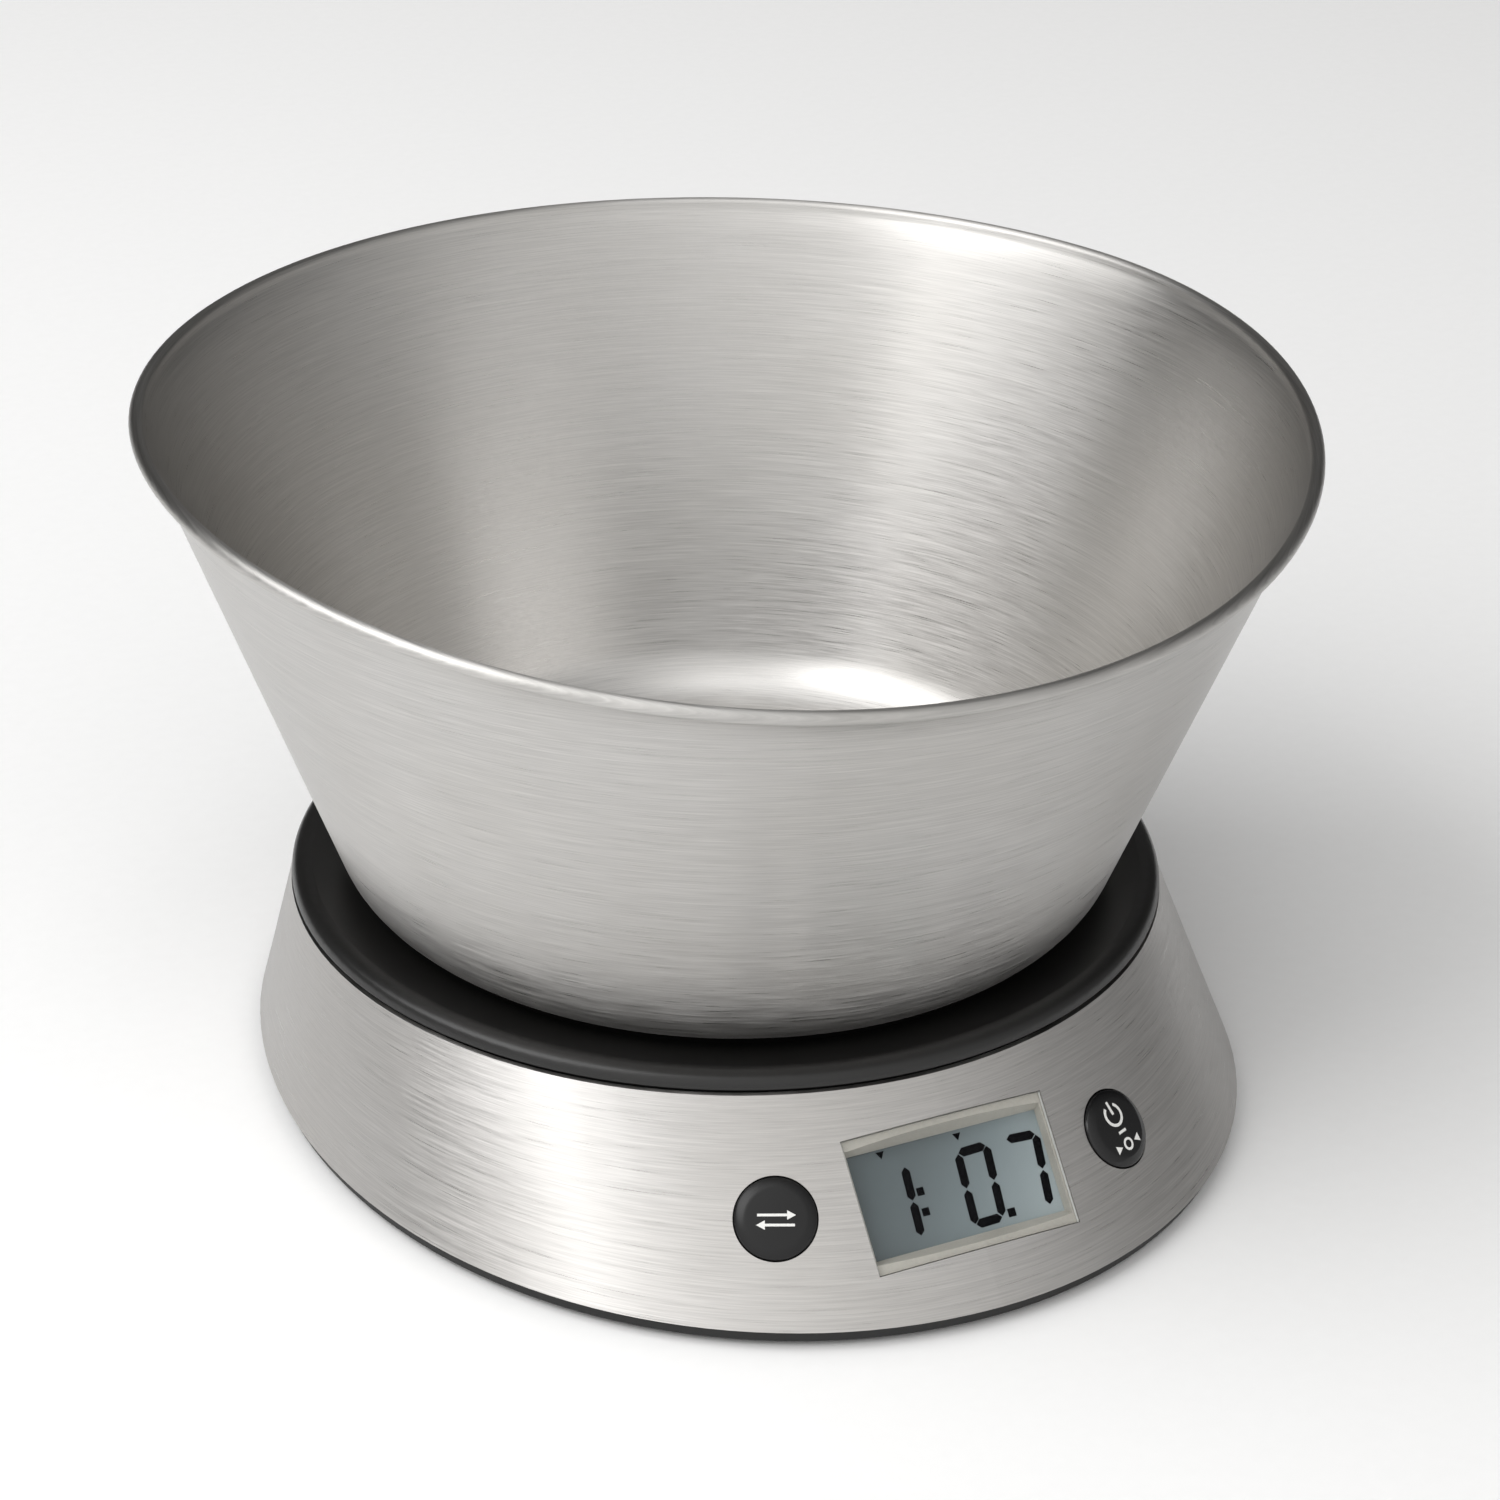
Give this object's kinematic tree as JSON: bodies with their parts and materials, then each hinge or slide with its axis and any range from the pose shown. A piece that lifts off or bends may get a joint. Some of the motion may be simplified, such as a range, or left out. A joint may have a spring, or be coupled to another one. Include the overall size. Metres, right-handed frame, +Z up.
{
  "type": "kitchen scale",
  "caption": "Electronic kitchen scale: egg-shaped brushed steel base with a sloping display and push buttons, round platform, lift-off steel bowl with a dipped rim.",
  "frame": {"origin": "on the supporting surface, under the weighing axis (the centre of the round platform)", "axes": "+Z up, -Y towards the display and the user, +X to the right of a user facing the display"},
  "size_m": [0.214, 0.2178, 0.13],
  "materials": {
    "brushed_steel": "circumferential brushed",
    "bowl_steel": "circumferential brushed",
    "platform_plastic": "fine matte grain",
    "base_plastic": "fine matte grain",
    "button_plastic": "satin",
    "bezel_plastic": "smooth pale",
    "clear_lens": "clear, gloss",
    "display_glass": "grey display",
    "reflector": "satin film",
    "contact_rubber": "striped rubber",
    "circuit_board": "solder mask",
    "chip_resin": "cast resin",
    "component": "ceramic",
    "cell_aluminium": "milled",
    "silicone": "soft",
    "plated_steel": "zinc plated",
    "foot_rubber": "matte",
    "battery_wrap": "plain printed sleeve",
    "contact_metal": "nickel plated",
    "wire_jacket": "soft jacket"
  },
  "bodies": {
    "base": {"housing_shell": "brushed_steel", "inner_frame": "base_plastic", "base_tray": "base_plastic", "rubber_feet": "foot_rubber", "case_screws": "plated_steel", "load_cell": "cell_aluminium", "gauge_potting": "silicone", "lower_spacer": "plated_steel", "lower_cell_screws": "plated_steel", "display_lens": "clear_lens", "display_bezel": "bezel_plastic", "display_front_glass": "display_glass", "display_rear_glass": "display_glass", "display_reflector": "reflector", "contact_strip": "contact_rubber", "main_board": "circuit_board", "processor_cover": "chip_resin", "board_components": "component", "board_screws": "plated_steel", "key_boards": "circuit_board", "key_switches": "chip_resin", "battery_cells": "battery_wrap", "positive_contacts": "contact_metal", "negative_contacts": "contact_metal", "signal_wires": "wire_jacket", "battery_wires": "wire_jacket"},
    "platform": {"platform": "platform_plastic", "platform_support": "plated_steel", "platform_screws": "plated_steel", "upper_spacer": "plated_steel", "upper_cell_screws": "plated_steel"},
    "bowl": {"bowl": "bowl_steel"},
    "unit_button": {"unit_button": "button_plastic", "unit_switch_stem": "button_plastic"},
    "tare_button": {"tare_button": "button_plastic", "tare_switch_stem": "button_plastic"},
    "battery_door": {"battery_door": "base_plastic"}
  },
  "joints": [
    {"name": "platform_press", "type": "slide", "parent": "base", "child": "platform", "axis": [0, 0, -1], "range_m": [0, 0.0008], "stiffness_N_per_m": 70000, "deforming": ["load_cell"]},
    {"name": "bowl_lift", "type": "slide", "parent": "platform", "child": "bowl", "axis": [0, 0, 1], "range_m": [0, 0.15]},
    {"name": "unit_press", "type": "slide", "parent": "base", "child": "unit_button", "axis": [0.3108, 0.6995, -0.6435], "range_m": [0, 0.0008], "stiffness_N_per_m": 1800},
    {"name": "tare_press", "type": "slide", "parent": "base", "child": "tare_button", "axis": [-0.3108, 0.6995, -0.6435], "range_m": [0, 0.0008], "stiffness_N_per_m": 1800},
    {"name": "battery_door_hinge", "type": "hinge", "parent": "base", "child": "battery_door", "pos_m": [0, 0.0469, 0.0018], "axis": [1, 0, 0], "range_deg": [0, 95]}
  ]
}
